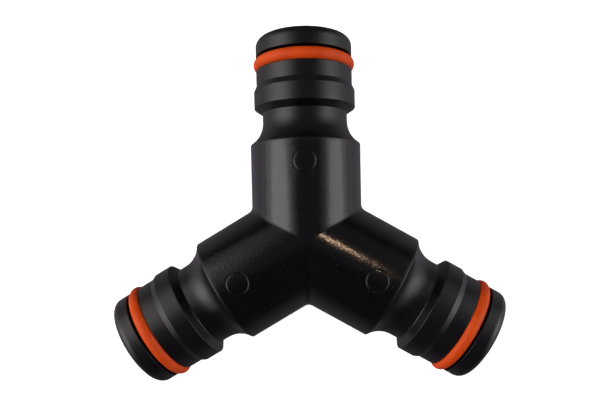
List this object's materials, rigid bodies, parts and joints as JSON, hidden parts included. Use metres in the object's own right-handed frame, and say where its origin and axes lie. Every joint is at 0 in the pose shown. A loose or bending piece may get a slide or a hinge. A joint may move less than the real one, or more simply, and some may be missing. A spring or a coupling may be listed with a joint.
{
  "type": "three-way hose coupler",
  "caption": "Y-shaped garden hose coupler: one moulded hub with equal arms at 120 degrees, each a push-on nipple with latch neck, collar and O-ring seal.",
  "frame": {"origin": "where the three port axes cross, in the middle of the hub", "axes": "all port axes lie in the XY plane; +Y out of the top port; the left and right ports leave at 210 and 330 degrees from +X; +Z is square to the Y, towards the face with the ejector marks"},
  "size_m": [0.0682, 0.0595, 0.0192],
  "materials": {
    "body_plastic": "black moulded plastic, fine spark-eroded grain on the barrels, smoother satin nipples",
    "seal_rubber": "orange-red moulded rubber, soft satin"
  },
  "bodies": {
    "root": {"body": "body_plastic", "o_ring_top": "seal_rubber", "o_ring_left": "seal_rubber", "o_ring_right": "seal_rubber"}
  },
  "joints": []
}
